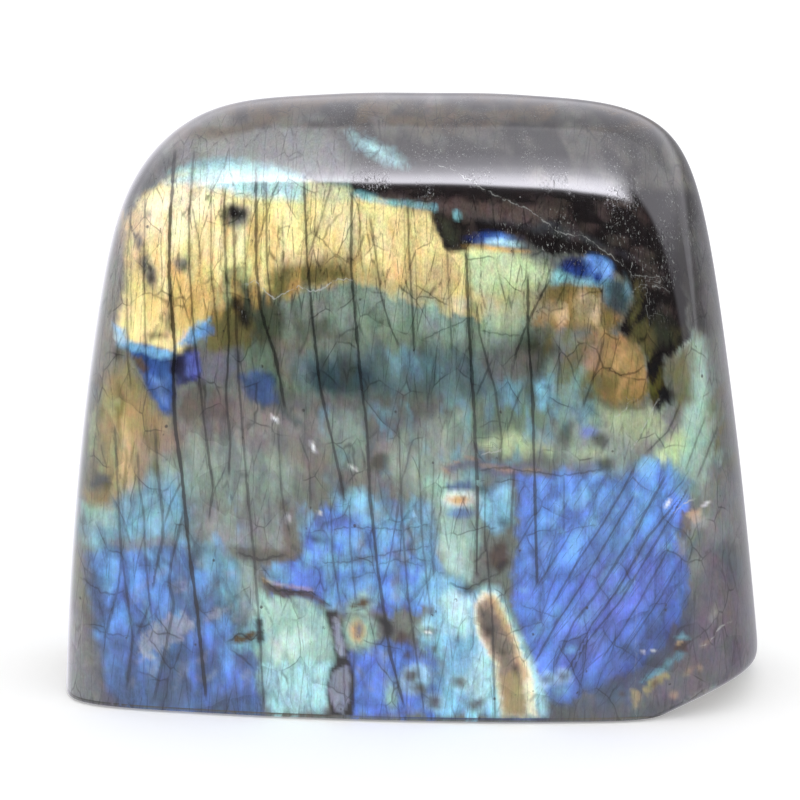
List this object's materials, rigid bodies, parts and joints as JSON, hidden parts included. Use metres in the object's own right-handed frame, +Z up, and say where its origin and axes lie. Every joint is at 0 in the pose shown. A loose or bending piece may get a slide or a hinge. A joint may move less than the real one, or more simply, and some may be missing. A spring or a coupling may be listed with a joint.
{
  "type": "polished labradorite freeform",
  "caption": "Upright polished labradorite freeform with bowed ground faces, soft shoulders and a flat sawn base to stand on.",
  "frame": {"origin": "the middle of the stone's box on the surface it stands on", "axes": "+X to the right across the wide flashing front, +Y to the back through the thin way of the stone, +Z up"},
  "size_m": [0.1178, 0.0508, 0.1001],
  "materials": {
    "labradorite": "hand-polished dark feldspar with flashes of blue, green and gold"
  },
  "bodies": {
    "root": {"labradorite_stone": "labradorite"}
  },
  "joints": []
}
